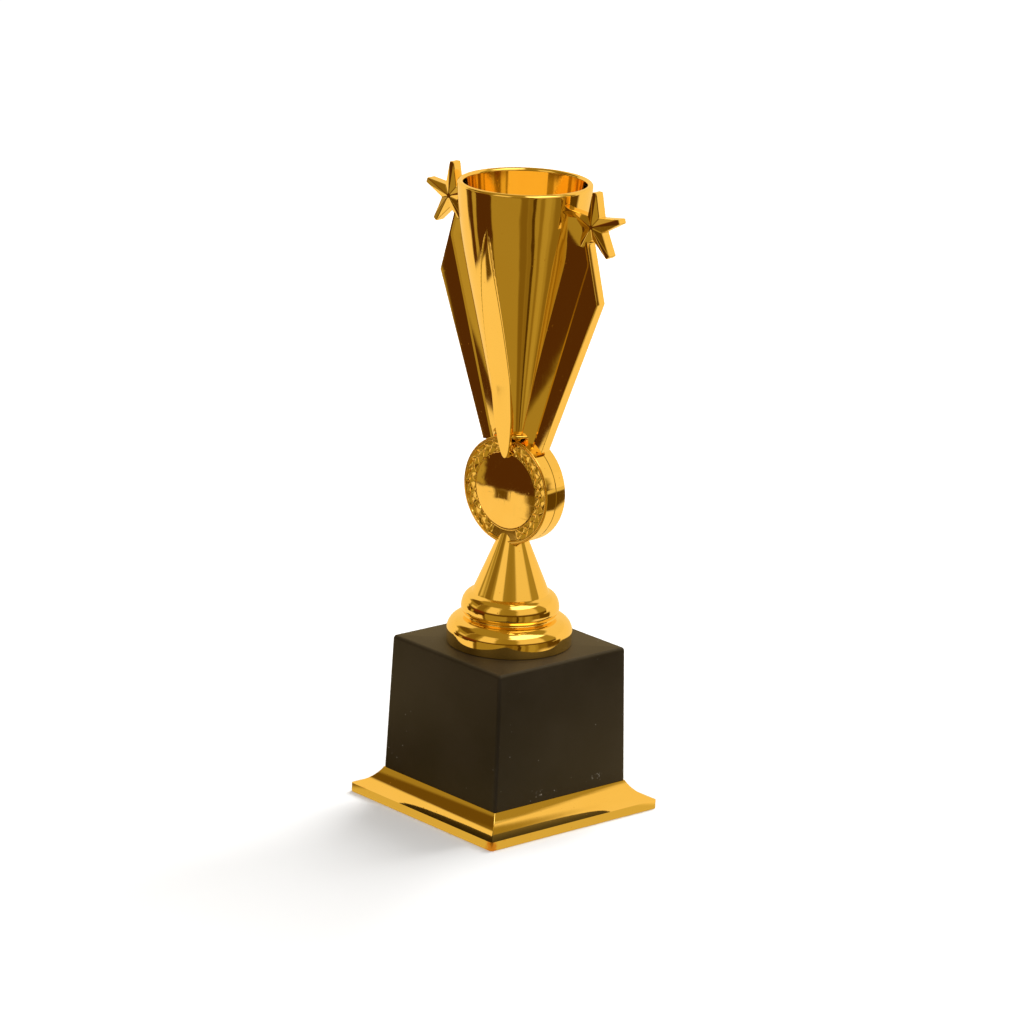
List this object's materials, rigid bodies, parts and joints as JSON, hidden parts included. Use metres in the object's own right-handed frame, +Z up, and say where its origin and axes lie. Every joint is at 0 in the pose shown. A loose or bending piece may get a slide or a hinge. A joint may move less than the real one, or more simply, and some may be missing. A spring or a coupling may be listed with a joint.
{
  "type": "trophy",
  "caption": "Gold conical trophy cup with side fins and stars on a round medal holder, a turned riser and a square black plinth.",
  "frame": {"origin": "centre of the plinth's skirt on the surface that the trophy stands on", "axes": "+Z up along the threaded rod; -Y and +X out of two plinth faces; the medal faces -Y, turned 8.4 degrees anticlockwise seen from above"},
  "size_m": [0.0894, 0.079, 0.2314],
  "materials": {
    "gold_plating": "vacuum-metallised gold on moulded plastic, mirror gloss",
    "centre_disc_gold": "polished gold foil disc with fine scratches",
    "black_plastic": "satin black moulded plastic, scuffed",
    "cement": "cast cement",
    "board": "hardboard",
    "zinc_steel": "zinc plated"
  },
  "bodies": {
    "base": {"skirt_frame": "gold_plating", "plinth_shell": "black_plastic", "ballast_block": "cement", "base_plate": "board", "base_washer": "zinc_steel"},
    "column": {"tie_rod": "zinc_steel", "base_nut": "zinc_steel", "riser": "gold_plating", "medal_front": "gold_plating", "medal_rear": "gold_plating", "centre_disc_front": "centre_disc_gold", "centre_disc_rear": "centre_disc_gold", "cup_seat": "gold_plating", "cup": "gold_plating", "cup_washer": "zinc_steel", "cup_nut": "zinc_steel", "front_rib": "gold_plating", "rear_rib": "gold_plating", "left_fin": "gold_plating", "right_fin": "gold_plating", "left_star": "gold_plating", "right_star": "gold_plating"}
  },
  "joints": [
    {"name": "column_turn", "type": "hinge", "parent": "base", "child": "column", "pos_m": [0, 0, 0.06056], "axis": [0, 0, 1], "continuous": true}
  ]
}
